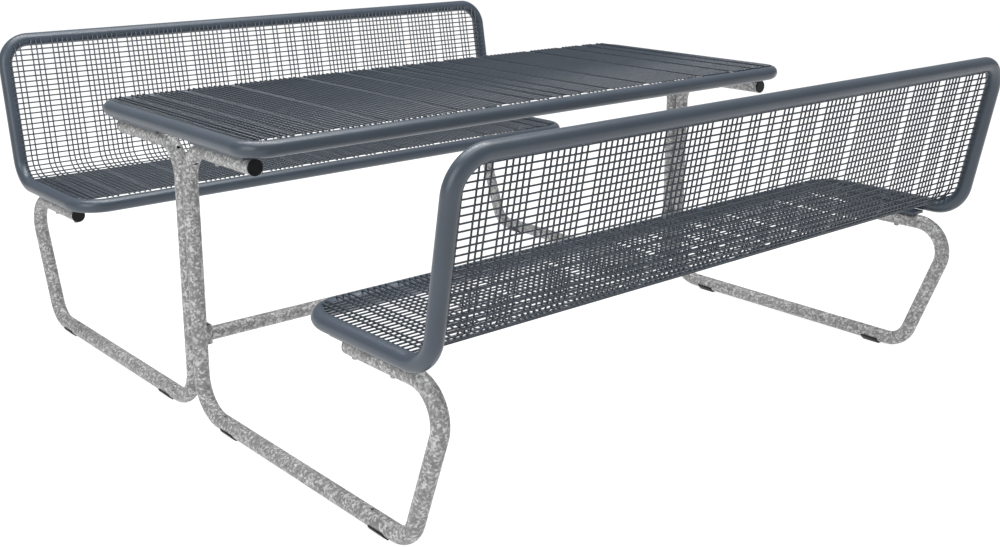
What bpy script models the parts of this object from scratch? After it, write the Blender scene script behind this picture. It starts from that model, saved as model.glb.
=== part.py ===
"""Steel picnic table with a wire-mesh top and two wire-mesh benches that have backs.

Run with: blender --background --python part.py

Metres, +Z up.  The origin is on the floor under the middle of the table.
X runs along the table, from the left end (-X) to the right end (+X).
Y runs across it, from the front bench (-Y) to the back bench (+Y).

Two bent tubes stand back to back at each end.  Each one is a table arm, a centre leg,
a floor runner, a leaning outer leg and a seat arm, in one piece.  The top and the benches
are closed tube frames that carry wire mesh, bolted down onto the arms through flat strips.
"""

import math

import bmesh
import bpy
from mathutils import Matrix, Vector

# Driving dimensions
TABLE_HEIGHT = 0.750
TABLE_LENGTH = 1.840
TABLE_WIDTH = 0.770
SEAT_HEIGHT = 0.443
BACK_HEIGHT = 0.852
TUBE_DIAMETER = 0.038
TUBE_WALL = 0.0025
FIT_GAP = 0.0003

TUBE_RADIUS = TUBE_DIAMETER / 2

# End frames: one bent tube on each side of each end
END_PLANE_X = 0.868
CENTRE_LEG_Y = TUBE_RADIUS + FIT_GAP / 2
PAD_LIFT = 0.004
RUNNER_Z = PAD_LIFT + TUBE_RADIUS
FLOOR_CORNER_Y = 0.867
OUTER_LEG_LEAN = math.radians(20.2)
TABLE_ARM_END_Y = 0.324
SEAT_ARM_END_Y = 0.673
TOP_BEND_RADIUS = 0.081
BOTTOM_BEND_RADIUS = 0.093
FLOOR_BEND_RADIUS = 0.071
SEAT_ARM_BEND_RADIUS = 0.077

# Flat strips between the arms and the frames that they carry
STRIP_THICKNESS = 0.008
STRIP_INNER_X = 0.850
STRIP_OUTER_X = 0.897
TABLE_STRIP_Y = (0.085, 0.325)
SEAT_STRIP_Y = (0.643, 0.880)

# Table top and bench frames, measured on the tube axis
FRAME_HALF_LENGTH = TABLE_LENGTH / 2 - TUBE_RADIUS
TOP_HALF_WIDTH = TABLE_WIDTH / 2 - TUBE_RADIUS
TOP_AXIS_Z = TABLE_HEIGHT - TUBE_RADIUS
TOP_CORNER_RADIUS = 0.057
SEAT_AXIS_Z = SEAT_HEIGHT - TUBE_RADIUS
BACK_AXIS_Z = BACK_HEIGHT - TUBE_RADIUS
SEAT_FRONT_Y = 0.558
SEAT_BACK_Y = 0.980
BACK_LEAN = math.radians(10.25)
SEAT_CORNER_RADIUS = 0.082
SEAT_TO_BACK_RADIUS = 0.083
BACK_CORNER_RADIUS = 0.074

TABLE_ARM_Z = TOP_AXIS_Z - TUBE_DIAMETER - STRIP_THICKNESS
SEAT_ARM_Z = SEAT_AXIS_Z - TUBE_DIAMETER - STRIP_THICKNESS

# Wire mesh, as a coarse grille of thicker wires that lies on the frame tubes
WIRE_THICKNESS = 0.007
MESH_OFFSET = TUBE_RADIUS + FIT_GAP + WIRE_THICKNESS / 2
MESH_EDGE_INSET = 0.003
TOP_MESH_COLUMNS = 8
TOP_MESH_ROWS = 5
BENCH_MESH_COLUMNS = 7
SEAT_MESH_ROWS = 3
BACK_MESH_ROWS = 3

# Crossbar between the two ends
CROSSBAR_Z = 0.207
CROSSBAR_RADIUS = 0.017
BRACKET_FACE_X = 0.8315
BRACKET_REACH_X = END_PLANE_X - TUBE_RADIUS - FIT_GAP
BRACKET_HALF_WIDTH = 0.020
BRACKET_SHEET = 0.004
BRACKET_HEIGHT = 0.048
BRACKET_Z = 0.211

# Bolts, holes, caps and pads
BOLT_RADIUS = 0.004
BOLT_HOLE_RADIUS = 0.0046
BOLT_HEAD_RADIUS = 0.0068
BOLT_HEAD_HEIGHT = 0.0055
BOLT_TIP = 0.004
TABLE_BOLT_Y = 0.160
SEAT_BOLT_Y = {"inner": 0.690, "outer": 0.820}
ANCHOR_HOLE_RADIUS = 0.004
ANCHOR_HOLE_Y = (0.130, 0.737)
VENT_HOLE_RADIUS = 0.0045
DRAIN_HOLE_RADIUS = 0.003
CAP_PLUG_RADIUS = 0.0150
CAP_PLUG_DEPTH = 0.007
CAP_HEAD = 0.004
CAP_CHAMFER = 0.001
PAD_LENGTH = 0.052
PAD_WIDTH = 0.014
PAD_HEIGHT = 0.0055
PAD_Y = {"inner": 0.163, "outer": 0.773}

# Facets
TUBE_BEVEL_RESOLUTION = 3
BEND_STEP = math.radians(22.5)
HOLE_SIDES = 8
SADDLE_SIDES = 20
TURNED_STEPS = 10

ENDS = {"left": -1, "right": 1}
SIDES = {"front": -1, "back": 1}


def make_material(name, colour, metallic, roughness):
    material = bpy.data.materials.new(name)
    material.use_nodes = True
    shader = material.node_tree.nodes["Principled BSDF"]
    shader.inputs["Base Color"].default_value = (*colour, 1.0)
    shader.inputs["Metallic"].default_value = metallic
    shader.inputs["Roughness"].default_value = roughness
    material.diffuse_color = (*colour, 1.0)
    return material


def finish_piece(piece, material, scene):
    """Give a piece its material, and place it in the table's collection under its empty."""
    piece.data.materials.clear()
    piece.data.materials.append(material)
    scene["parts"].objects.link(piece)
    piece.parent = scene["root"]
    return piece


def rounded_route(corners):
    """Points along straight runs with a round bend at each corner.

    Each corner is a point and its bend radius.  The two ends of an open route have radius 0.
    """
    points = []
    count = len(corners)
    for index, (corner, radius) in enumerate(corners):
        if radius == 0:
            points.append(corner)
            continue
        arriving = (corner - corners[index - 1][0]).normalized()
        leaving = (corners[(index + 1) % count][0] - corner).normalized()
        turn = arriving.angle(leaving)
        start = corner - arriving * radius * math.tan(turn / 2)
        centre = corner + (leaving - arriving).normalized() * radius / math.cos(turn / 2)
        axis = arriving.cross(leaving)
        pieces = math.ceil(turn / BEND_STEP - 0.01)
        for piece in range(pieces + 1):
            spin = Matrix.Rotation(turn * piece / pieces, 3, axis)
            points.append(centre + spin @ (start - centre))
    return points


def bent_tube(name, corners, radius, material, scene, closed=False):
    """A hollow round tube along a route, as a mesh with its wall made by Solidify."""
    curve = bpy.data.curves.new(name, "CURVE")
    curve.dimensions = "3D"
    curve.bevel_depth = radius
    curve.bevel_resolution = TUBE_BEVEL_RESOLUTION
    route = rounded_route(corners)
    spline = curve.splines.new("POLY")
    spline.points.add(len(route) - 1)
    for point, position in zip(spline.points, route):
        point.co = (*position, 1.0)
    spline.use_cyclic_u = closed

    guide = bpy.data.objects.new(name + "_route", curve)
    scene["parts"].objects.link(guide)
    evaluated = guide.evaluated_get(bpy.context.evaluated_depsgraph_get())
    mesh = bpy.data.meshes.new_from_object(evaluated)
    mesh.name = name
    bpy.data.objects.remove(guide)
    bpy.data.curves.remove(curve)

    mesh.shade_smooth()
    tube = bpy.data.objects.new(name, mesh)
    wall = tube.modifiers.new("wall", "SOLIDIFY")
    wall.thickness = TUBE_WALL
    wall.offset = -1.0
    wall.use_even_offset = True
    return finish_piece(tube, material, scene)


def cut_round(piece, cuts, sides, scene):
    """Cut cylinders out of a piece.  Each cut is a middle point, a direction, a radius and a length."""
    shape = bmesh.new()
    for middle, direction, radius, length in cuts:
        turn = Vector(direction).to_track_quat("Z", "Y").to_matrix().to_4x4()
        bmesh.ops.create_cone(
            shape,
            cap_ends=True,
            segments=sides,
            radius1=radius,
            radius2=radius,
            depth=length,
            matrix=Matrix.Translation(middle) @ turn,
        )
    mesh = bpy.data.meshes.new(piece.name + "_cutter")
    shape.to_mesh(mesh)
    shape.free()
    cutter = bpy.data.objects.new(piece.name + "_cutter", mesh)
    cutter.hide_render = True
    cutter.display_type = "WIRE"
    scene["cutters"].objects.link(cutter)
    cut = piece.modifiers.new("holes", "BOOLEAN")
    cut.operation = "DIFFERENCE"
    cut.solver = "EXACT"
    cut.object = cutter


def box(name, low, high, material, scene):
    """A block between two opposite corners."""
    shape = bmesh.new()
    size = Matrix.Diagonal((*(Vector(high) - Vector(low)), 1.0))
    middle = (Vector(high) + Vector(low)) / 2
    bmesh.ops.create_cube(shape, size=1.0, matrix=Matrix.Translation(middle) @ size)
    mesh = bpy.data.meshes.new(name)
    shape.to_mesh(mesh)
    shape.free()
    return finish_piece(bpy.data.objects.new(name, mesh), material, scene)


def turned(name, profile, location, rotation, material, scene):
    """A turned piece.  Its profile of radius and height runs from the top of its axis to the bottom."""
    mesh = bpy.data.meshes.new(name)
    outline = [(radius, 0.0, height) for radius, height in profile]
    edges = [(index, index + 1) for index in range(len(outline) - 1)]
    mesh.from_pydata(outline, edges, [])
    piece = bpy.data.objects.new(name, mesh)
    piece.location = location
    piece.rotation_euler = rotation
    screw = piece.modifiers.new("turn", "SCREW")
    screw.steps = TURNED_STEPS
    screw.render_steps = TURNED_STEPS
    screw.use_merge_vertices = True
    screw.merge_threshold = 0.0001
    return finish_piece(piece, material, scene)


def end_tube(end, side, material, scene):
    """Table arm, centre leg, floor runner, outer leg and seat arm, bent from one tube."""
    x = END_PLANE_X * ENDS[end]
    towards = SIDES[side]
    rise = SEAT_ARM_Z - RUNNER_Z
    seat_corner_y = FLOOR_CORNER_Y + rise * math.tan(OUTER_LEG_LEAN)

    def at(y, z):
        return Vector((x, y * towards, z))

    corners = [
        (at(TABLE_ARM_END_Y, TABLE_ARM_Z), 0),
        (at(CENTRE_LEG_Y, TABLE_ARM_Z), TOP_BEND_RADIUS),
        (at(CENTRE_LEG_Y, RUNNER_Z), BOTTOM_BEND_RADIUS),
        (at(FLOOR_CORNER_Y, RUNNER_Z), FLOOR_BEND_RADIUS),
        (at(seat_corner_y, SEAT_ARM_Z), SEAT_ARM_BEND_RADIUS),
        (at(SEAT_ARM_END_Y, SEAT_ARM_Z), 0),
    ]
    tube = bent_tube(f"leg_{end}_{side}", corners, TUBE_RADIUS, material, scene)

    through = TUBE_DIAMETER * 1.4
    upwards = Vector((0, 0, 1))
    holes = [(at(TABLE_BOLT_Y, TABLE_ARM_Z), upwards, BOLT_HOLE_RADIUS, through)]
    for y in SEAT_BOLT_Y.values():
        holes.append((at(y, SEAT_ARM_Z), upwards, BOLT_HOLE_RADIUS, through))
    for y in ANCHOR_HOLE_Y:
        holes.append((at(y, RUNNER_Z), upwards, ANCHOR_HOLE_RADIUS, through))
    bend_centre = at(CENTRE_LEG_Y + TOP_BEND_RADIUS, TABLE_ARM_Z - TOP_BEND_RADIUS)
    outwards = Vector((0, -towards, 1)).normalized()
    vent = bend_centre + outwards * TOP_BEND_RADIUS
    holes.append((vent, outwards, VENT_HOLE_RADIUS, through))
    cut_round(tube, holes, HOLE_SIDES, scene)


def tube_cap(end, side, level, material, scene):
    """Plastic cap on an arm's open end, with a short plug inside the tube."""
    if level == "table":
        y, z, into = TABLE_ARM_END_Y, TABLE_ARM_Z, -1
    else:
        y, z, into = SEAT_ARM_END_Y, SEAT_ARM_Z, 1
    inwards = into * SIDES[side]
    profile = [
        (0, CAP_PLUG_DEPTH),
        (CAP_PLUG_RADIUS, CAP_PLUG_DEPTH),
        (CAP_PLUG_RADIUS, -FIT_GAP),
        (TUBE_RADIUS, -FIT_GAP),
        (TUBE_RADIUS, CAP_CHAMFER - CAP_HEAD),
        (TUBE_RADIUS - CAP_CHAMFER, -CAP_HEAD),
        (0, -CAP_HEAD),
    ]
    location = (END_PLANE_X * ENDS[end], y * SIDES[side], z)
    rotation = (-inwards * math.pi / 2, 0, 0)
    turned(f"cap_{level}_{end}_{side}", profile, location, rotation, material, scene)


def foot_pad(end, side, place, material, scene):
    """Plastic saddle under the floor runner."""
    x = END_PLANE_X * ENDS[end]
    y = PAD_Y[place] * SIDES[side]
    low = (x - PAD_WIDTH / 2, y - PAD_LENGTH / 2, 0)
    high = (x + PAD_WIDTH / 2, y + PAD_LENGTH / 2, PAD_HEIGHT)
    pad = box(f"foot_pad_{end}_{side}_{place}", low, high, material, scene)
    saddle = ((x, y, RUNNER_Z), (0, 1, 0), TUBE_RADIUS + FIT_GAP, PAD_LENGTH * 1.2)
    cut_round(pad, [saddle], SADDLE_SIDES, scene)


def mounting_strip(end, side, level, material, scene):
    """Flat strip on top of an arm, under the end tube of the frame that it carries."""
    if level == "table":
        arm_z, (near_y, far_y), bolts = TABLE_ARM_Z, TABLE_STRIP_Y, [TABLE_BOLT_Y]
    else:
        arm_z, (near_y, far_y), bolts = SEAT_ARM_Z, SEAT_STRIP_Y, list(SEAT_BOLT_Y.values())
    bottom = arm_z + TUBE_RADIUS + FIT_GAP
    top = arm_z + TUBE_RADIUS + STRIP_THICKNESS - FIT_GAP
    xs = sorted((STRIP_INNER_X * ENDS[end], STRIP_OUTER_X * ENDS[end]))
    ys = sorted((near_y * SIDES[side], far_y * SIDES[side]))
    name = f"{level}_strip_{end}_{side}"
    strip = box(name, (xs[0], ys[0], bottom), (xs[1], ys[1], top), material, scene)
    holes = []
    for y in bolts:
        middle = (END_PLANE_X * ENDS[end], y * SIDES[side], (bottom + top) / 2)
        holes.append((middle, (0, 0, 1), BOLT_HOLE_RADIUS, STRIP_THICKNESS * 2))
    cut_round(strip, holes, HOLE_SIDES, scene)


def arm_bolt(name, end, y, arm_z, material, scene):
    """Bolt pushed up through an arm and its strip, with its head under the arm."""
    seat = -FIT_GAP
    tip = TUBE_DIAMETER + STRIP_THICKNESS + BOLT_TIP
    profile = [
        (0, tip),
        (BOLT_RADIUS, tip),
        (BOLT_RADIUS, seat),
        (BOLT_HEAD_RADIUS, seat),
        (BOLT_HEAD_RADIUS, seat - BOLT_HEAD_HEIGHT),
        (0, seat - BOLT_HEAD_HEIGHT),
    ]
    location = (END_PLANE_X * ENDS[end], y, arm_z - TUBE_RADIUS)
    turned(name, profile, location, (0, 0, 0), material, scene)


def corner_inset(radius):
    """How far inside a frame's sharp corner the mesh corner lies, so that it clears the bend."""
    return radius - (radius - MESH_EDGE_INSET) / math.sqrt(2)


def wire_grille(name, columns, place, rows, material, scene):
    """A grille of crossing wires.  place(column, row) gives each crossing."""
    shape = bmesh.new()
    bmesh.ops.create_grid(shape, x_segments=columns, y_segments=rows, size=1.0)
    for crossing in shape.verts:
        column = round((crossing.co.x + 1) / 2 * columns)
        row = round((crossing.co.y + 1) / 2 * rows)
        crossing.co = place(column, row)
    bmesh.ops.recalc_face_normals(shape, faces=shape.faces)
    mesh = bpy.data.meshes.new(name)
    shape.to_mesh(mesh)
    shape.free()
    grille = bpy.data.objects.new(name, mesh)
    wires = grille.modifiers.new("wires", "WIREFRAME")
    wires.thickness = WIRE_THICKNESS
    wires.use_boundary = True
    wires.use_replace = True
    wires.use_even_offset = True
    return finish_piece(grille, material, scene)


def table_top(paint, wire, scene):
    """Closed tube frame with its wire mesh lying on top of the tube."""
    corners = []
    for x, y in ((-1, -1), (1, -1), (1, 1), (-1, 1)):
        corner = Vector((x * FRAME_HALF_LENGTH, y * TOP_HALF_WIDTH, TOP_AXIS_Z))
        corners.append((corner, TOP_CORNER_RADIUS))
    frame = bent_tube("table_frame", corners, TUBE_RADIUS, paint, scene, closed=True)
    drain = Vector((0, -TOP_HALF_WIDTH, TOP_AXIS_Z - TUBE_RADIUS))
    cut_round(frame, [(drain, (0, 0, 1), DRAIN_HOLE_RADIUS, TUBE_RADIUS)], HOLE_SIDES, scene)

    def place(column, row):
        at_corner = column in (0, TOP_MESH_COLUMNS) and row in (0, TOP_MESH_ROWS)
        inset = corner_inset(TOP_CORNER_RADIUS) if at_corner else MESH_EDGE_INSET
        x = (FRAME_HALF_LENGTH - inset) * (2 * column / TOP_MESH_COLUMNS - 1)
        y = (TOP_HALF_WIDTH - inset) * (2 * row / TOP_MESH_ROWS - 1)
        return Vector((x, y, TOP_AXIS_Z + MESH_OFFSET))

    wire_grille("table_mesh", TOP_MESH_COLUMNS, place, TOP_MESH_ROWS, wire, scene)


def spread(start, stop, count):
    """Points from start up to, but not including, stop."""
    return [start.lerp(stop, index / count) for index in range(count)]


def bench(side, paint, wire, scene):
    """Seat and back: one closed tube frame bent at the seat's rear edge, with one mesh."""
    towards = SIDES[side]
    upwards = Vector((0, math.sin(BACK_LEAN), math.cos(BACK_LEAN)))
    front = Vector((0, SEAT_FRONT_Y, SEAT_AXIS_Z))
    elbow = Vector((0, SEAT_BACK_Y, SEAT_AXIS_Z))
    top = elbow + upwards * (BACK_AXIS_Z - SEAT_AXIS_Z) / upwards.z

    def on_side(point, x):
        return Vector((x, point.y * towards, point.z))

    corners = []
    half_loop = [(front, SEAT_CORNER_RADIUS), (elbow, SEAT_TO_BACK_RADIUS), (top, BACK_CORNER_RADIUS)]
    for x, route in ((-FRAME_HALF_LENGTH, half_loop), (FRAME_HALF_LENGTH, reversed(half_loop))):
        corners += [(on_side(point, x), radius) for point, radius in route]
    frame = bent_tube(f"bench_frame_{side}", corners, TUBE_RADIUS, paint, scene, closed=True)
    drain = on_side(front, 0) - Vector((0, 0, TUBE_RADIUS))
    cut_round(frame, [(drain, (0, 0, 1), DRAIN_HOLE_RADIUS, TUBE_RADIUS)], HOLE_SIDES, scene)

    # The mesh lies on the sitter's side of the tubes, so its bend is tighter than theirs.
    forwards = Vector((0, -math.cos(BACK_LEAN), math.sin(BACK_LEAN)))
    half_turn = (math.pi / 2 - BACK_LEAN) / 2
    sitter_elbow = elbow + Vector((0, -math.tan(half_turn), 1)) * MESH_OFFSET
    mesh_front = front + Vector((0, MESH_EDGE_INSET, MESH_OFFSET))
    mesh_top = top + forwards * MESH_OFFSET - upwards * MESH_EDGE_INSET
    mesh_bend = (sitter_elbow, SEAT_TO_BACK_RADIUS - MESH_OFFSET)
    bend = rounded_route([(mesh_front, 0), mesh_bend, (mesh_top, 0)])[1:-1]
    stations = spread(mesh_front, bend[0], SEAT_MESH_ROWS) + bend[:-1]
    stations += spread(bend[-1], mesh_top, BACK_MESH_ROWS) + [mesh_top]
    rows = len(stations) - 1

    def place(column, row):
        inset = MESH_EDGE_INSET
        station = stations[row]
        if column in (0, BENCH_MESH_COLUMNS) and row == 0:
            inset = corner_inset(SEAT_CORNER_RADIUS)
            station = station + Vector((0, inset - MESH_EDGE_INSET, 0))
        if column in (0, BENCH_MESH_COLUMNS) and row == rows:
            inset = corner_inset(BACK_CORNER_RADIUS)
            station = station - upwards * (inset - MESH_EDGE_INSET)
        x = (FRAME_HALF_LENGTH - inset) * (2 * column / BENCH_MESH_COLUMNS - 1)
        return on_side(station, x)

    wire_grille(f"bench_mesh_{side}", BENCH_MESH_COLUMNS, place, rows, wire, scene)


def crossbar(material, scene):
    """Straight tube low down between the two ends, welded to a bracket at each end."""
    reach = BRACKET_FACE_X - FIT_GAP
    ends = [(Vector((-reach, 0, CROSSBAR_Z)), 0), (Vector((reach, 0, CROSSBAR_Z)), 0)]
    bent_tube("crossbar", ends, CROSSBAR_RADIUS, material, scene)


def crossbar_bracket(end, material, scene):
    """U-shaped bracket with one flange against each of the two centre legs of one end."""
    outer_y = BRACKET_HALF_WIDTH
    inner_y = outer_y - BRACKET_SHEET
    web_back_x = BRACKET_FACE_X + BRACKET_SHEET
    half = [
        (BRACKET_FACE_X, outer_y),
        (BRACKET_REACH_X, outer_y),
        (BRACKET_REACH_X, inner_y),
        (web_back_x, inner_y),
    ]
    outline = half + [(x, -y) for x, y in reversed(half)]
    curve = bpy.data.curves.new(f"crossbar_bracket_{end}", "CURVE")
    curve.dimensions = "2D"
    curve.fill_mode = "BOTH"
    curve.extrude = BRACKET_HEIGHT / 2
    spline = curve.splines.new("POLY")
    spline.points.add(len(outline) - 1)
    for point, (x, y) in zip(spline.points, outline):
        point.co = (x * ENDS[end], y, 0, 1)
    spline.use_cyclic_u = True
    bracket = bpy.data.objects.new(curve.name, curve)
    bracket.location.z = BRACKET_Z
    finish_piece(bracket, material, scene)


def start_scene():
    """Empty the file and make the collections and the empty that hold the table."""
    for thing in list(bpy.data.objects):
        bpy.data.objects.remove(thing)
    scene = {}
    for key, name in (("parts", "picnic_table"), ("cutters", "cutters")):
        scene[key] = bpy.data.collections.new(name)
        bpy.context.scene.collection.children.link(scene[key])
    scene["root"] = bpy.data.objects.new("picnic_table", None)
    scene["parts"].objects.link(scene["root"])
    return scene


def main():
    scene = start_scene()
    zinc = make_material("galvanised_steel", (0.45, 0.46, 0.46), 0.8, 0.45)
    paint = make_material("grey_powder_coat", (0.085, 0.105, 0.130), 0.0, 0.40)
    wire = make_material("grey_wire_coat", (0.060, 0.073, 0.090), 0.0, 0.45)
    plastic = make_material("black_plastic", (0.010, 0.010, 0.011), 0.0, 0.45)
    bolt = make_material("bolt_zinc", (0.30, 0.30, 0.30), 0.8, 0.40)

    for end in ENDS:
        for side, towards in SIDES.items():
            end_tube(end, side, zinc, scene)
            for level in ("table", "seat"):
                tube_cap(end, side, level, plastic, scene)
                mounting_strip(end, side, level, paint, scene)
            for place in PAD_Y:
                foot_pad(end, side, place, plastic, scene)
            arm_bolt(f"table_bolt_{end}_{side}", end, TABLE_BOLT_Y * towards, TABLE_ARM_Z, bolt, scene)
            for place, y in SEAT_BOLT_Y.items():
                arm_bolt(f"seat_bolt_{end}_{side}_{place}", end, y * towards, SEAT_ARM_Z, bolt, scene)
        crossbar_bracket(end, zinc, scene)
    crossbar(zinc, scene)
    table_top(paint, wire, scene)
    for side in SIDES:
        bench(side, paint, wire, scene)


main()
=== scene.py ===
"""Looks of the steel picnic table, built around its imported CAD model.

Metres, +Z up, in the frame of the CAD.  Smooth tubes, fine wire mesh and small parts stand for
the faceted CAD nodes; the flat strips are the CAD nodes themselves with eased edges.
"""
import math

import bmesh
import bpy
import numpy as np
from mathutils import Matrix, Vector


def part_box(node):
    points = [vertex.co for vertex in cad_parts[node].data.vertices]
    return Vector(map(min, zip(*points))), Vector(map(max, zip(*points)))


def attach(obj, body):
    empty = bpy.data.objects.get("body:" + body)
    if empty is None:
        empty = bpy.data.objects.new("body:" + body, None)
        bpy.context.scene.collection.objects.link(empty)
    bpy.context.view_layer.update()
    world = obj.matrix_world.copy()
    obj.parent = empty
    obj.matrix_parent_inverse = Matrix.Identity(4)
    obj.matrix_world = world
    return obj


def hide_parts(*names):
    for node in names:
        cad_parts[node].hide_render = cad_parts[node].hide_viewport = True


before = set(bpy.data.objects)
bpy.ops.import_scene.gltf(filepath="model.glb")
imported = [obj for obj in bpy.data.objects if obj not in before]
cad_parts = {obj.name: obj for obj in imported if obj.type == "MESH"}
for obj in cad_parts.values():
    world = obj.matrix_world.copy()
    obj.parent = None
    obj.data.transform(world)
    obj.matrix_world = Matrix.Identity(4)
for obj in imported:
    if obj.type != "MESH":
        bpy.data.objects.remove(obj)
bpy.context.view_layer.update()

ENDS = {"left": -1, "right": 1}
SIDES = {"front": -1, "back": 1}
UP = Vector((0, 0, 1))


def centre(node):
    low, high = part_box(node)
    return (low + high) / 2


# Places read from the CAD nodes
TUBE_RADIUS = (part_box("leg_right_back")[1].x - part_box("leg_right_back")[0].x) / 2
END_PLANE_X = centre("leg_right_back").x
TABLE_ARM_Z = centre("cap_table_right_back").z
SEAT_ARM_Z = centre("cap_seat_right_back").z
RUNNER_Z = 2 * centre("leg_right_back").z - TABLE_ARM_Z
TOP_AXIS_Z = centre("table_frame").z
SEAT_AXIS_Z = 2 * centre("seat_strip_right_back").z - SEAT_ARM_Z
FRAME_HALF_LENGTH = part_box("bench_frame_back")[1].x - TUBE_RADIUS
TOP_HALF_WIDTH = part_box("table_frame")[1].y - TUBE_RADIUS
SEAT_FRONT_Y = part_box("bench_frame_back")[0].y + TUBE_RADIUS
BACK_AXIS_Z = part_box("bench_frame_back")[1].z - TUBE_RADIUS
CROSSBAR_Z = centre("crossbar").z
CROSSBAR_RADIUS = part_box("crossbar")[1].y

# Sizes that the boxes don't give
TUBE_WALL = 0.0025
CENTRE_LEG_GAP = 0.0003
CENTRE_LEG_Y = TUBE_RADIUS + CENTRE_LEG_GAP / 2
FLOOR_CORNER_Y = 0.867
OUTER_LEG_LEAN = math.radians(20.2)
TOP_BEND_RADIUS = 0.081
BOTTOM_BEND_RADIUS = 0.093
FLOOR_BEND_RADIUS = 0.071
SEAT_ARM_BEND_RADIUS = 0.077
TOP_CORNER_RADIUS = 0.057
BACK_LEAN = math.radians(10.25)
SEAT_CORNER_RADIUS = 0.082
SEAT_TO_BACK_RADIUS = 0.083
BACK_CORNER_RADIUS = 0.074
BACK_RISE = BACK_AXIS_Z - SEAT_AXIS_Z
SEAT_BACK_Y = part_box("bench_frame_back")[1].y - TUBE_RADIUS - BACK_RISE * math.tan(BACK_LEAN)
ANCHOR_HOLE_RADIUS = 0.004
ANCHOR_HOLE_Y = (0.130, 0.737)
VENT_HOLE_RADIUS = 0.0045
DRAIN_HOLE_RADIUS = 0.003
HOLE_LENGTH = TUBE_RADIUS * 2.8

# Plastic caps and foot pads
CAP_HEAD = 0.004
CAP_PLUG_RADIUS = 0.0160
CAP_PLUG_DEPTH = 0.007
CAP_EDGE = 0.0014
CAP_EDGE_STEPS = 4
CAP_CHAMFER = 0.0002
CAP_CROWN = 0.0001
CAP_SIDES = 48
PAD_WRAP = math.radians(72)
PAD_INNER_RADIUS = TUBE_RADIUS + 0.0002
PAD_OUTER_RADIUS = 0.0224
PAD_FOOT_HALF_WIDTH = 0.008
PAD_ARC_STEPS = 24
PAD_EDGE = 0.0006

# Bolts, crossbar brackets and strips
BOLT_HEAD_RADIUS = 0.0068
BOLT_HEAD_HEIGHT = 0.0055
BOLT_RIM_HEIGHT = 0.0022
BOLT_SHANK_RADIUS = 0.004
BOLT_TIP_RADIUS = 0.0035
BOLT_TIP_HEIGHT = 0.0006
BOLT_DOME_STEPS = 6
BOLT_SIDES = 32
BRACKET_SHEET = 0.004
BRACKET_FOLD_RADIUS = 0.007
BRACKET_FOLD_STEPS = 6
METAL_EDGE = 0.0008

# Smoothness
BEND_STEP = math.radians(4)
TUBE_BEVEL_RESOLUTION = 14
STRAIGHT_STEP = 0.04
HOLE_SIDES = 24
CREASE_ANGLE = math.radians(32)
WIRE_CREASE_ANGLE = math.radians(60)
EASED_ANGLE = math.radians(50)

# Wire mesh: wires across the piece come in groups, wires along it are evenly spaced
WIRE_RADIUS = 0.0020
WIRE_END_LENGTH = WIRE_RADIUS * 0.4
WIRE_END_RADIUS = WIRE_RADIUS * 0.6
WIRE_SIDES = 10
WIRE_BEND_STOPS = 15
WIRE_PITCH = 0.01537
GROUP_GAP = 0.0333
GROUPS = (2, 3, 5, 8, 13, 8, 5, 3, 2, 3, 5, 8, 13, 8, 5, 3, 2)
WIRE_BITE = 0.0003
WIRE_LAYER_STEP = 0.0033
ACROSS_OFFSET = TUBE_RADIUS + WIRE_RADIUS - WIRE_BITE
ALONG_OFFSET = ACROSS_OFFSET - WIRE_LAYER_STEP
TOP_ACROSS_INSET = 0.002
BENCH_ACROSS_INSET = 0.0035
ALONG_INSET = 0.005
EDGE_MARGIN = 0.0306


# ---------------------------------------------------------------- materials


def new_material(name, colour, metallic, roughness):
    """A Principled material and its shader node."""
    material = bpy.data.materials.new(name)
    material.use_nodes = True
    shader = material.node_tree.nodes["Principled BSDF"]
    shader.inputs["Base Color"].default_value = (*colour, 1)
    shader.inputs["Metallic"].default_value = metallic
    shader.inputs["Roughness"].default_value = roughness
    return material, shader


def add_node(material, kind, inputs=(), **settings):
    """A node with its settings, and with a link or a plain value at each named input."""
    node = material.node_tree.nodes.new(kind)
    for key, value in settings.items():
        setattr(node, key, value)
    for key, value in dict(inputs).items():
        if isinstance(value, bpy.types.NodeSocket):
            material.node_tree.links.new(value, node.inputs[key])
        else:
            node.inputs[key].default_value = value
    return node


def position(material):
    """Place on the object, in metres."""
    return add_node(material, "ShaderNodeTexCoord").outputs["Object"]


def noise(material, scale, detail=2.0, roughness=0.5):
    node = add_node(
        material,
        "ShaderNodeTexNoise",
        {"Vector": position(material), "Scale": scale, "Detail": detail, "Roughness": roughness},
    )
    return node.outputs["Fac"]


def ramp(material, factor, stops):
    """Colour ramp.  Stops are pairs of a place and a colour or grey."""
    node = add_node(material, "ShaderNodeValToRGB", {"Fac": factor})
    points = node.color_ramp.elements
    while len(points) < len(stops):
        points.new(1.0)
    for point, (place, colour) in zip(points, stops):
        if isinstance(colour, (int, float)):
            colour = (colour,) * 3
        point.position = place
        point.color = (*colour, 1)
    return node.outputs["Color"]


def connect(material, source, shader, socket):
    material.node_tree.links.new(source, shader.inputs[socket])


def bump(material, shader, height, distance):
    """Relief of the surface, with its depth in metres."""
    inputs = {"Height": height, "Distance": distance, "Strength": 1.0}
    node = add_node(material, "ShaderNodeBump", inputs)
    connect(material, node.outputs["Normal"], shader, "Normal")


def scaled(colour, factor):
    return tuple(channel * factor for channel in colour)


def powder_coat(name, colour, roughness):
    """Smooth powder coat: faint clouding, a fine orange-peel surface."""
    material, shader = new_material(name, colour, 0.0, roughness)
    clouds = noise(material, 9.0, 3.0)
    tint = ramp(material, clouds, [(0.3, scaled(colour, 0.93)), (0.7, scaled(colour, 1.07))])
    connect(material, tint, shader, "Base Color")
    gloss = ramp(material, noise(material, 30.0), [(0.3, roughness - 0.03), (0.7, roughness + 0.03)])
    connect(material, gloss, shader, "Roughness")
    bump(material, shader, noise(material, 420.0, 1.0), 0.00008)
    return material


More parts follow.
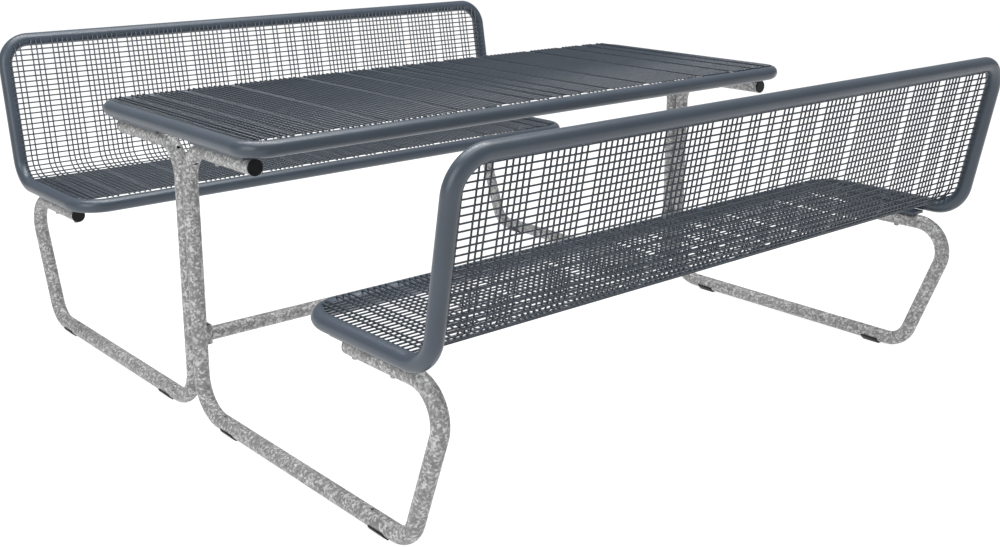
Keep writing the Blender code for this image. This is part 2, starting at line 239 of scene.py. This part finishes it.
def galvanised(name):
    """Hot-dip zinc: dull grey with a mottled spangle of lighter flecks."""
    material, shader = new_material(name, (0.27, 0.27, 0.27), 0.15, 0.5)
    place = position(material)
    wobble = add_node(material, "ShaderNodeTexNoise", {"Vector": place, "Scale": 60.0, "Detail": 2.0})
    shifted = add_node(
        material,
        "ShaderNodeMixRGB",
        {"Fac": 0.012, "Color1": place, "Color2": wobble.outputs["Color"]},
        blend_type="ADD",
    ).outputs["Color"]
    flakes = add_node(material, "ShaderNodeTexVoronoi", {"Vector": shifted, "Scale": 210.0})
    grain = add_node(material, "ShaderNodeSeparateColor", {"Color": flakes.outputs["Color"]})
    fleck_stops = [(0.0, 0.17), (0.50, 0.235), (0.75, 0.38), (1.0, 0.54)]
    fleck = ramp(material, grain.outputs["Red"], fleck_stops)
    clouds = ramp(material, noise(material, 45.0, 4.0, 0.6), [(0.35, 0.86), (0.65, 1.10)])
    colour = add_node(
        material,
        "ShaderNodeMixRGB",
        {"Fac": 1.0, "Color1": fleck, "Color2": clouds},
        blend_type="MULTIPLY",
    ).outputs["Color"]
    connect(material, colour, shader, "Base Color")
    gloss = ramp(material, grain.outputs["Green"], [(0.0, 0.38), (1.0, 0.60)])
    connect(material, gloss, shader, "Roughness")
    bump(material, shader, noise(material, 160.0, 3.0), 0.0003)
    return material


def moulded_plastic(name):
    """Black plastic with a fine moulded grain."""
    colour = (0.006, 0.006, 0.007)
    material, shader = new_material(name, colour, 0.0, 0.42)
    tint = ramp(material, noise(material, 60.0), [(0.3, scaled(colour, 0.8)), (0.7, scaled(colour, 1.3))])
    connect(material, tint, shader, "Base Color")
    shader.inputs["Specular IOR Level"].default_value = 0.2
    bump(material, shader, noise(material, 900.0, 1.0), 0.00006)
    return material


def bolt_zinc(name):
    """Dull zinc plate on the bolts."""
    colour = (0.26, 0.26, 0.26)
    material, shader = new_material(name, colour, 0.3, 0.45)
    tint = ramp(material, noise(material, 250.0), [(0.3, scaled(colour, 0.7)), (0.7, scaled(colour, 1.4))])
    connect(material, tint, shader, "Base Color")
    bump(material, shader, noise(material, 700.0, 1.0), 0.00005)
    return material


PAINT = (0.044, 0.058, 0.078)
MATERIALS = {
    "grey_powder_coat": powder_coat("powder_coat", PAINT, 0.33),
    # The wires take the frames' paint at 0.75 of its brightness: painted shade for the shadow and
    # occlusion among the crossing wires. The real wires carry the same paint as the frames.
    "grey_wire_coat": powder_coat("wire_coat", scaled(PAINT, 0.75), 0.36),
    "galvanised_steel": galvanised("zinc"),
    "black_plastic": moulded_plastic("plastic"),
    "bolt_zinc": bolt_zinc("bolt_plate"),
}


# ---------------------------------------------------------------- building blocks


def settle(piece):
    """Replace a piece's mesh by what its modifiers make of it, smooth with sharp creases."""
    bpy.context.view_layer.update()
    evaluated = piece.evaluated_get(bpy.context.evaluated_depsgraph_get())
    mesh = bpy.data.meshes.new_from_object(evaluated)
    piece.modifiers.clear()
    piece.data = mesh
    mesh.shade_smooth()
    mesh.set_sharp_from_angle(angle=CREASE_ANGLE)


def ease_edges(piece, width):
    """Round off a piece's sharp edges."""
    edges = piece.modifiers.new("edges", "BEVEL")
    edges.width = width
    edges.segments = 2
    edges.limit_method = "ANGLE"
    edges.angle_limit = EASED_ANGLE


def finished_mesh(shape, name):
    """Turn a bmesh into a mesh, with its faces turned the same way."""
    bmesh.ops.recalc_face_normals(shape, faces=shape.faces)
    mesh = bpy.data.meshes.new(name)
    shape.to_mesh(mesh)
    shape.free()
    return mesh


def add_piece(name, mesh, slot, nodes):
    """Put a mesh in the scene as a piece that stands for CAD nodes and rides on the table."""
    piece = bpy.data.objects.new(name, mesh)
    bpy.context.scene.collection.objects.link(piece)
    mesh.materials.clear()
    mesh.materials.append(MATERIALS[slot])
    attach(piece, "root")
    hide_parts(*nodes)
    return piece


def rounded_route(corners, closed):
    """Points along straight runs with a round bend at each corner.

    Each corner is a point and its bend radius.  The two ends of an open route have radius 0.
    """
    bends = []
    count = len(corners)
    for index, (corner, radius) in enumerate(corners):
        if radius == 0:
            bends.append([corner])
            continue
        arriving = (corner - corners[index - 1][0]).normalized()
        leaving = (corners[(index + 1) % count][0] - corner).normalized()
        turn = arriving.angle(leaving)
        start = corner - arriving * radius * math.tan(turn / 2)
        middle = corner + (leaving - arriving).normalized() * radius / math.cos(turn / 2)
        axis = arriving.cross(leaving)
        steps = math.ceil(turn / BEND_STEP - 0.01)
        spins = [Matrix.Rotation(turn * step / steps, 3, axis) for step in range(steps + 1)]
        bends.append([middle + spin @ (start - middle) for spin in spins])
    points = []
    for bend, following in zip(bends, bends[1:] + bends[:1]):
        points += bend
        run = following[0] - bend[-1]
        steps = math.ceil(run.length / STRAIGHT_STEP)
        points += [bend[-1] + run * step / steps for step in range(1, steps)]
    if not closed:
        last_run = math.ceil((bends[0][0] - bends[-1][-1]).length / STRAIGHT_STEP)
        points = points[: len(points) - last_run + 1]
    return points


def tube_mesh(name, corners, radius, closed=False, wall=TUBE_WALL, holes=()):
    """Mesh of a hollow round tube along a route, with round holes cut in its wall."""
    curve = bpy.data.curves.new(name, "CURVE")
    curve.dimensions = "3D"
    curve.bevel_depth = radius
    curve.bevel_resolution = TUBE_BEVEL_RESOLUTION
    route = rounded_route(corners, closed)
    spline = curve.splines.new("POLY")
    spline.points.add(len(route) - 1)
    for point, place in zip(spline.points, route):
        point.co = (*place, 1)
    spline.use_cyclic_u = closed
    guide = bpy.data.objects.new(name + "_guide", curve)
    bpy.context.scene.collection.objects.link(guide)
    bpy.context.view_layer.update()
    evaluated = guide.evaluated_get(bpy.context.evaluated_depsgraph_get())
    mesh = bpy.data.meshes.new_from_object(evaluated)
    bpy.data.objects.remove(guide)
    bpy.data.curves.remove(curve)

    tube = bpy.data.objects.new(name + "_tube", mesh)
    bpy.context.scene.collection.objects.link(tube)
    solidify = tube.modifiers.new("wall", "SOLIDIFY")
    solidify.thickness = wall
    solidify.offset = -1
    solidify.use_even_offset = True
    cutter = None
    if holes:
        cutter = hole_cutter(name + "_cutter", holes)
        cut = tube.modifiers.new("holes", "BOOLEAN")
        cut.operation = "DIFFERENCE"
        cut.solver = "EXACT"
        cut.object = cutter
    settle(tube)
    result = tube.data
    bpy.data.objects.remove(tube)
    if cutter:
        bpy.data.objects.remove(cutter)
    result.name = name
    return result


def hole_cutter(name, holes):
    """Cylinders.  Each hole is a middle point, a direction, a radius and a length."""
    shape = bmesh.new()
    for middle, direction, radius, length in holes:
        turn = Vector(direction).to_track_quat("Z", "Y").to_matrix().to_4x4()
        bmesh.ops.create_cone(
            shape,
            cap_ends=True,
            segments=HOLE_SIDES,
            radius1=radius,
            radius2=radius,
            depth=length,
            matrix=Matrix.Translation(middle) @ turn,
        )
    mesh = bpy.data.meshes.new(name)
    shape.to_mesh(mesh)
    shape.free()
    cutter = bpy.data.objects.new(name, mesh)
    bpy.context.scene.collection.objects.link(cutter)
    return cutter


def lathe_mesh(name, profile, steps, place):
    """Turned mesh.  The profile is radius and height along Z, both its ends on the axis."""
    shape = bmesh.new()
    rings = []
    for radius, height in profile:
        if radius == 0:
            rings.append([shape.verts.new(place @ Vector((0, 0, height)))])
            continue
        ring = []
        for step in range(steps):
            angle = 2 * math.pi * step / steps
            spot = Vector((radius * math.cos(angle), radius * math.sin(angle), height))
            ring.append(shape.verts.new(place @ spot))
        rings.append(ring)
    for ring, following in zip(rings, rings[1:]):
        for step in range(steps):
            after = (step + 1) % steps
            corners = [ring[step % len(ring)], ring[after % len(ring)]]
            corners += [following[after % len(following)], following[step % len(following)]]
            shape.faces.new(list(dict.fromkeys(corners)))
    mesh = finished_mesh(shape, name)
    mesh.shade_smooth()
    mesh.set_sharp_from_angle(angle=CREASE_ANGLE)
    return mesh


# ---------------------------------------------------------------- end frames


def end_tube(end, side):
    """Table arm, centre leg, floor runner, outer leg and seat arm, bent from one tube."""
    x = END_PLANE_X * ENDS[end]
    towards = SIDES[side]
    seat_corner_y = FLOOR_CORNER_Y + (SEAT_ARM_Z - RUNNER_Z) * math.tan(OUTER_LEG_LEAN)
    table_end_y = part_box(f"cap_table_{end}_back")[1].y - CAP_HEAD
    seat_end_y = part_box(f"cap_seat_{end}_back")[0].y + CAP_HEAD

    def at(y, z):
        return Vector((x, y * towards, z))

    corners = [
        (at(table_end_y, TABLE_ARM_Z), 0),
        (at(CENTRE_LEG_Y, TABLE_ARM_Z), TOP_BEND_RADIUS),
        (at(CENTRE_LEG_Y, RUNNER_Z), BOTTOM_BEND_RADIUS),
        (at(FLOOR_CORNER_Y, RUNNER_Z), FLOOR_BEND_RADIUS),
        (at(seat_corner_y, SEAT_ARM_Z), SEAT_ARM_BEND_RADIUS),
        (at(seat_end_y, SEAT_ARM_Z), 0),
    ]
    holes = [(at(y, RUNNER_Z), UP, ANCHOR_HOLE_RADIUS, HOLE_LENGTH) for y in ANCHOR_HOLE_Y]
    bend_centre = at(CENTRE_LEG_Y + TOP_BEND_RADIUS, TABLE_ARM_Z - TOP_BEND_RADIUS)
    outwards = Vector((0, -towards, 1)).normalized()
    holes.append((bend_centre + outwards * TOP_BEND_RADIUS, outwards, VENT_HOLE_RADIUS, HOLE_LENGTH))
    name = f"leg_{end}_{side}"
    mesh = tube_mesh(name + "_tube", corners, TUBE_RADIUS, holes=holes)
    add_piece(name + "_tube", mesh, "galvanised_steel", [name])


def tube_cap(end, side, level):
    """Plastic cap in an arm's open end, with a rounded rim."""
    node = f"cap_{level}_{end}_{side}"
    low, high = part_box(node)
    outwards = SIDES[side] if level == "table" else -SIDES[side]
    tip_y = high.y if outwards > 0 else low.y
    profile = [(0, -CAP_PLUG_DEPTH), (CAP_PLUG_RADIUS, -CAP_PLUG_DEPTH), (CAP_PLUG_RADIUS, 0)]
    profile += [(TUBE_RADIUS - CAP_CHAMFER, 0), (TUBE_RADIUS, CAP_CHAMFER)]
    for step in range(CAP_EDGE_STEPS + 1):
        angle = math.pi / 2 * step / CAP_EDGE_STEPS
        radius = TUBE_RADIUS - CAP_EDGE * (1 - math.cos(angle))
        profile.append((radius, CAP_HEAD - CAP_EDGE * (1 - math.sin(angle))))
    profile += [(TUBE_RADIUS * 0.55, CAP_HEAD - CAP_CROWN), (0, CAP_HEAD)]
    middle = (low + high) / 2
    base = Vector((middle.x, tip_y - outwards * CAP_HEAD, middle.z))
    turn = Matrix.Rotation(-outwards * math.pi / 2, 4, "X")
    mesh = lathe_mesh(node + "_moulded", profile, CAP_SIDES, Matrix.Translation(base) @ turn)
    add_piece(node + "_moulded", mesh, "black_plastic", [node])


def pad_outline():
    """Section of a foot pad, as points across and above the runner's axis."""

    def around(radius, angle):
        return (math.sin(angle) * radius, -math.cos(angle) * radius)

    outline = []
    for step in range(PAD_ARC_STEPS + 1):
        outline.append(around(PAD_INNER_RADIUS, PAD_WRAP * (2 * step / PAD_ARC_STEPS - 1)))
    foot_angle = math.asin(PAD_FOOT_HALF_WIDTH / PAD_OUTER_RADIUS)
    outer_half = []
    for step in range(PAD_ARC_STEPS // 2 + 1):
        angle = PAD_WRAP + (foot_angle - PAD_WRAP) * 2 * step / PAD_ARC_STEPS
        outer_half.append(around(PAD_OUTER_RADIUS, angle))
    outer_half.append((PAD_FOOT_HALF_WIDTH, -RUNNER_Z))
    return outline + outer_half + [(-across, above) for across, above in reversed(outer_half)]


def foot_pad(end, side, place):
    """Plastic glide that clips round the underside of the floor runner, with a flat foot."""
    node = f"foot_pad_{end}_{side}_{place}"
    low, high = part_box(node)
    middle_x = (low.x + high.x) / 2
    outline = pad_outline()
    shape = bmesh.new()
    rings = []
    for y in (low.y, high.y):
        spots = [(middle_x + across, y, RUNNER_Z + above) for across, above in outline]
        rings.append([shape.verts.new(spot) for spot in spots])
    for ring in rings:
        shape.faces.new(ring)
    for index in range(len(outline)):
        after = (index + 1) % len(outline)
        shape.faces.new((rings[0][index], rings[0][after], rings[1][after], rings[1][index]))
    mesh = finished_mesh(shape, node + "_moulded")
    pad = add_piece(node + "_moulded", mesh, "black_plastic", [node])
    ease_edges(pad, PAD_EDGE)
    settle(pad)


def bolt(node):
    """Bolt with its domed head below."""
    low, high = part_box(node)
    middle = (low + high) / 2
    seat = low.z + BOLT_HEAD_HEIGHT
    rim = seat - BOLT_RIM_HEIGHT
    dome_height = BOLT_HEAD_HEIGHT - BOLT_RIM_HEIGHT
    profile = [(0, high.z), (BOLT_TIP_RADIUS, high.z)]
    profile += [(BOLT_SHANK_RADIUS, high.z - BOLT_TIP_HEIGHT), (BOLT_SHANK_RADIUS, seat)]
    profile += [(BOLT_HEAD_RADIUS, seat), (BOLT_HEAD_RADIUS, rim)]
    for step in range(1, BOLT_DOME_STEPS):
        angle = math.pi / 2 * step / BOLT_DOME_STEPS
        profile.append((BOLT_HEAD_RADIUS * math.cos(angle), rim - dome_height * math.sin(angle)))
    profile.append((0, low.z))
    place = Matrix.Translation((middle.x, middle.y, 0))
    mesh = lathe_mesh(node + "_turned", profile, BOLT_SIDES, place)
    add_piece(node + "_turned", mesh, "bolt_zinc", [node])


def crossbar():
    """Straight tube between the two brackets."""
    low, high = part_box("crossbar")
    ends = [(Vector((x, 0, CROSSBAR_Z)), 0) for x in (low.x, high.x)]
    mesh = tube_mesh("crossbar_tube", ends, CROSSBAR_RADIUS)
    add_piece("crossbar_tube", mesh, "galvanised_steel", ["crossbar"])


def bracket(end):
    """U-shaped sheet with its web towards the crossbar and a flange against each centre leg."""
    node = f"crossbar_bracket_{end}"
    low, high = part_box(node)
    towards = ENDS[end]
    web_x = low.x if towards > 0 else high.x
    depth = high.x - low.x
    half = [(depth, high.y)]
    for step in range(BRACKET_FOLD_STEPS + 1):
        angle = math.pi / 2 * step / BRACKET_FOLD_STEPS
        inwards = BRACKET_FOLD_RADIUS * (1 - math.cos(angle))
        half.append((BRACKET_FOLD_RADIUS * (1 - math.sin(angle)), high.y - inwards))
    path = half + [(x, -y) for x, y in reversed(half)]
    shape = bmesh.new()
    columns = []
    for x, y in path:
        columns.append([shape.verts.new((web_x + x * towards, y, z)) for z in (low.z, high.z)])
    for first, second in zip(columns, columns[1:]):
        shape.faces.new((first[0], second[0], second[1], first[1]))
    mesh = finished_mesh(shape, node)
    bent = bpy.data.objects.new(node + "_sheet", mesh)
    bpy.context.scene.collection.objects.link(bent)
    thick = bent.modifiers.new("sheet", "SOLIDIFY")
    thick.thickness = BRACKET_SHEET
    thick.offset = -1
    ease_edges(bent, METAL_EDGE)
    settle(bent)
    result = bent.data
    bpy.data.objects.remove(bent)
    add_piece(node + "_bent", result, "galvanised_steel", [node])


def strip(node):
    """The CAD strip itself, with eased edges."""
    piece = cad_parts[node]
    piece.data.materials.clear()
    piece.data.materials.append(MATERIALS["grey_powder_coat"])
    ease_edges(piece, METAL_EDGE)


# ---------------------------------------------------------------- frames and wire mesh


def group_places():
    """Places of the grouped wires across a piece, centred on 0."""
    places = [0.0]
    for index, size in enumerate(GROUPS):
        if index:
            places.append(places[-1] + GROUP_GAP)
        for wire in range(size - 1):
            places.append(places[-1] + WIRE_PITCH)
    middle = (places[0] + places[-1]) / 2
    return [place - middle for place in places]


def even_places(length, margin):
    """Places of the evenly spaced wires over a length, with a margin at both ends."""
    count = round((length - 2 * margin) / WIRE_PITCH)
    pitch = (length - 2 * margin) / count
    return [margin + pitch * index for index in range(count + 1)]


def corner_drop(from_side, corner_radius, inset):
    """How far a frame's rounded corner draws in the end of a wire.

    The wire runs at from_side from the axis of the tube beside it, and stops inset short of the
    axis of the tube that it reaches.
    """
    radius = corner_radius - inset
    past_start = corner_radius - from_side
    if past_start <= 0:
        return 0.0
    return radius - math.sqrt(max(radius * radius - past_start * past_start, 0.0))


def add_wire(shape, route, side):
    """A round wire along points in the plane square to side, with rounded cut ends."""
    tangents = []
    for index in range(len(route)):
        before = route[max(index - 1, 0)]
        after = route[min(index + 1, len(route) - 1)]
        tangents.append((after - before).normalized())
    start = route[0] - tangents[0] * WIRE_END_LENGTH
    finish = route[-1] + tangents[-1] * WIRE_END_LENGTH
    stations = [(start, tangents[0], WIRE_END_RADIUS)]
    stations += [(point, tangent, WIRE_RADIUS) for point, tangent in zip(route, tangents)]
    stations.append((finish, tangents[-1], WIRE_END_RADIUS))
    rings = []
    for point, tangent, radius in stations:
        across = tangent.cross(side)
        ring = []
        for step in range(WIRE_SIDES):
            angle = 2 * math.pi * step / WIRE_SIDES
            outwards = side * math.cos(angle) + across * math.sin(angle)
            ring.append(shape.verts.new(point + outwards * radius))
        rings.append(ring)
    for ring, following in zip(rings, rings[1:]):
        for step in range(WIRE_SIDES):
            after = (step + 1) % WIRE_SIDES
            shape.faces.new((ring[step], ring[after], following[after], following[step]))
    shape.faces.new(rings[0][::-1])
    shape.faces.new(rings[-1])


def wire_mesh(node, across, along):
    """One piece made of all its wires.  Each wire is a route and a direction square to it."""
    shape = bmesh.new()
    for route, side in across + along:
        add_wire(shape, route, side)
    mesh = finished_mesh(shape, node + "_wires")
    mesh.shade_smooth()
    mesh.set_sharp_from_angle(angle=WIRE_CREASE_ANGLE)
    add_piece(node + "_wires", mesh, "grey_wire_coat", [node])


def table_top():
    """Round-cornered frame and its flat mesh."""
    corners = []
    for x, y in ((-1, -1), (1, -1), (1, 1), (-1, 1)):
        corner = Vector((x * FRAME_HALF_LENGTH, y * TOP_HALF_WIDTH, TOP_AXIS_Z))
        corners.append((corner, TOP_CORNER_RADIUS))
    drain = (Vector((0, -TOP_HALF_WIDTH, TOP_AXIS_Z - TUBE_RADIUS)), UP, DRAIN_HOLE_RADIUS, TUBE_RADIUS)
    mesh = tube_mesh("table_frame_tube", corners, TUBE_RADIUS, closed=True, holes=[drain])
    add_piece("table_frame_tube", mesh, "grey_powder_coat", ["table_frame"])

    across = []
    for x in group_places():
        reach = TOP_HALF_WIDTH - TOP_ACROSS_INSET
        reach -= corner_drop(FRAME_HALF_LENGTH - abs(x), TOP_CORNER_RADIUS, TOP_ACROSS_INSET)
        z = TOP_AXIS_Z + ACROSS_OFFSET
        across.append(([Vector((x, -reach, z)), Vector((x, reach, z))], Vector((1, 0, 0))))
    along = []
    for place in even_places(2 * TOP_HALF_WIDTH, EDGE_MARGIN):
        y = place - TOP_HALF_WIDTH
        reach = FRAME_HALF_LENGTH - ALONG_INSET
        reach -= corner_drop(TOP_HALF_WIDTH - abs(y), TOP_CORNER_RADIUS, ALONG_INSET)
        z = TOP_AXIS_Z + ALONG_OFFSET
        along.append(([Vector((-reach, y, z)), Vector((reach, y, z))], Vector((0, 1, 0))))
    wire_mesh("table_mesh", across, along)


def bench(side):
    """Seat and back: one closed frame and one mesh that follows its bend."""
    towards = SIDES[side]
    back_up = Vector((0, math.sin(BACK_LEAN), math.cos(BACK_LEAN)))
    back_out = Vector((0, -math.cos(BACK_LEAN), math.sin(BACK_LEAN)))
    front = Vector((0, SEAT_FRONT_Y, SEAT_AXIS_Z))
    elbow = Vector((0, SEAT_BACK_Y, SEAT_AXIS_Z))
    top = elbow + back_up * BACK_RISE / back_up.z

    def on_side(point, x):
        return Vector((x, point.y * towards, point.z))

    corners = []
    half_loop = [(front, SEAT_CORNER_RADIUS), (elbow, SEAT_TO_BACK_RADIUS), (top, BACK_CORNER_RADIUS)]
    for x, route in ((-FRAME_HALF_LENGTH, half_loop), (FRAME_HALF_LENGTH, reversed(half_loop))):
        corners += [(on_side(point, x), radius) for point, radius in route]
    drain = (on_side(front, 0) - UP * TUBE_RADIUS, UP, DRAIN_HOLE_RADIUS, TUBE_RADIUS)
    mesh = tube_mesh(f"bench_frame_{side}_tube", corners, TUBE_RADIUS, closed=True, holes=[drain])
    add_piece(f"bench_frame_{side}_tube", mesh, "grey_powder_coat", [f"bench_frame_{side}"])

    # A wire across the bench is a straight seat run, a bend and a straight back run.
    turn = math.pi / 2 - BACK_LEAN
    tangent_length = SEAT_TO_BACK_RADIUS * math.tan(turn / 2)
    seat_run = SEAT_BACK_Y - tangent_length - SEAT_FRONT_Y
    back_run = BACK_RISE / back_up.z - tangent_length
    bend_centre = Vector((0, SEAT_BACK_Y - tangent_length, SEAT_AXIS_Z + SEAT_TO_BACK_RADIUS))

    def on_mesh(distance, offset):
        """The point at a distance back from the front rail's axis, measured along the mesh."""
        bend_radius = SEAT_TO_BACK_RADIUS - offset
        bend_length = bend_radius * turn
        if distance <= seat_run:
            return front + Vector((0, distance, offset))
        if distance <= seat_run + bend_length:
            angle = (distance - seat_run) / bend_radius
            return bend_centre + Vector((0, math.sin(angle), -math.cos(angle))) * bend_radius
        past = distance - seat_run - bend_length
        return elbow + back_up * (tangent_length + past) + back_out * offset

    def length(offset):
        return seat_run + (SEAT_TO_BACK_RADIUS - offset) * turn + back_run

    across = []
    for x in group_places():
        from_side = FRAME_HALF_LENGTH - abs(x)
        start = BENCH_ACROSS_INSET + corner_drop(from_side, SEAT_CORNER_RADIUS, BENCH_ACROSS_INSET)
        finish = length(ACROSS_OFFSET) - BENCH_ACROSS_INSET
        finish -= corner_drop(from_side, BACK_CORNER_RADIUS, BENCH_ACROSS_INSET)
        bend_end = seat_run + (SEAT_TO_BACK_RADIUS - ACROSS_OFFSET) * turn
        stops = [start] + list(np.linspace(seat_run, bend_end, WIRE_BEND_STOPS)) + [finish]
        route = [on_side(on_mesh(stop, ACROSS_OFFSET), x) for stop in stops]
        across.append((route, Vector((1, 0, 0))))
    along = []
    total = length(ALONG_OFFSET)
    for place in even_places(total, EDGE_MARGIN):
        reach = FRAME_HALF_LENGTH - ALONG_INSET
        reach -= corner_drop(place, SEAT_CORNER_RADIUS, ALONG_INSET)
        reach -= corner_drop(total - place, BACK_CORNER_RADIUS, ALONG_INSET)
        spot = on_mesh(place, ALONG_OFFSET)
        route = [on_side(spot, -reach), on_side(spot, reach)]
        along.append((route, Vector((0, 0, 1))))
    wire_mesh(f"bench_mesh_{side}", across, along)


# ---------------------------------------------------------------- studio


def area_light(name, place, target, spin, size, radiance):
    """A rectangular soft light facing its target, turned by spin degrees about its own axis."""
    light = bpy.data.lights.new(name, "AREA")
    light.shape = "RECTANGLE"
    light.size, light.size_y = size
    light.energy = radiance * math.pi * size[0] * size[1]
    lamp = bpy.data.objects.new(name, light)
    facing = (Vector(target) - Vector(place)).to_track_quat("-Z", "Y").to_matrix().to_4x4()
    lamp.matrix_world = Matrix.Translation(place) @ facing @ Matrix.Rotation(math.radians(spin), 4, "Z")
    bpy.context.scene.collection.objects.link(lamp)


def studio():
    """Pale floor, even surroundings, and three soft lights."""
    world = bpy.data.worlds.new("studio")
    bpy.context.scene.world = world
    world.use_nodes = True
    background = world.node_tree.nodes["Background"]
    background.inputs["Color"].default_value = (1, 1, 1, 1)
    background.inputs["Strength"].default_value = 0.37

    floor_material, shader = new_material("floor", (0.22, 0.22, 0.22), 0.0, 0.9)
    shader.inputs["Specular IOR Level"].default_value = 0.0
    shader.inputs["Emission Color"].default_value = (1, 1, 1, 1)
    shader.inputs["Emission Strength"].default_value = 0.93
    bpy.ops.mesh.primitive_plane_add(size=160, location=(0, 0, 0))
    floor = bpy.context.object
    floor.name = "floor"
    floor.data.materials.append(floor_material)

    area_light("ceiling", (0, 0, 5), (0, 0, 0), 0, (5, 5), 3.6)
    area_light("strip", (-0.2, 0.3, 3.5), (-0.2, 0.3, 0), 35, (0.20, 4.0), 25.0)
    area_light("left_window", (-4.5, -1.5, 2.2), (0, 0, 0.5), 0, (3, 3), 3.2)
    bpy.context.scene.view_settings.view_transform = "Standard"


def camera():
    """Stands off the front left corner, about 1.3 m above the floor and looking slightly down."""
    data = bpy.data.cameras.new("camera")
    data.lens = 45.22
    data.sensor_width = 36
    data.shift_x = 0.0131
    data.shift_y = -0.0654
    eye = bpy.data.objects.new("camera", data)
    eye.location = (-2.1957, -2.6641, 1.2748)
    yaw = math.radians(49.71)
    pitch = math.radians(14.425)
    eye.rotation_euler = (math.pi / 2 - pitch, 0, yaw - math.pi / 2)
    bpy.context.scene.collection.objects.link(eye)
    bpy.context.scene.camera = eye


for end in ENDS:
    for side in SIDES:
        end_tube(end, side)
        for level in ("table", "seat"):
            tube_cap(end, side, level)
            strip(f"{level}_strip_{end}_{side}")
        for place in ("inner", "outer"):
            foot_pad(end, side, place)
            bolt(f"seat_bolt_{end}_{side}_{place}")
        bolt(f"table_bolt_{end}_{side}")
    bracket(end)
crossbar()
table_top()
for side in SIDES:
    bench(side)
studio()
camera()
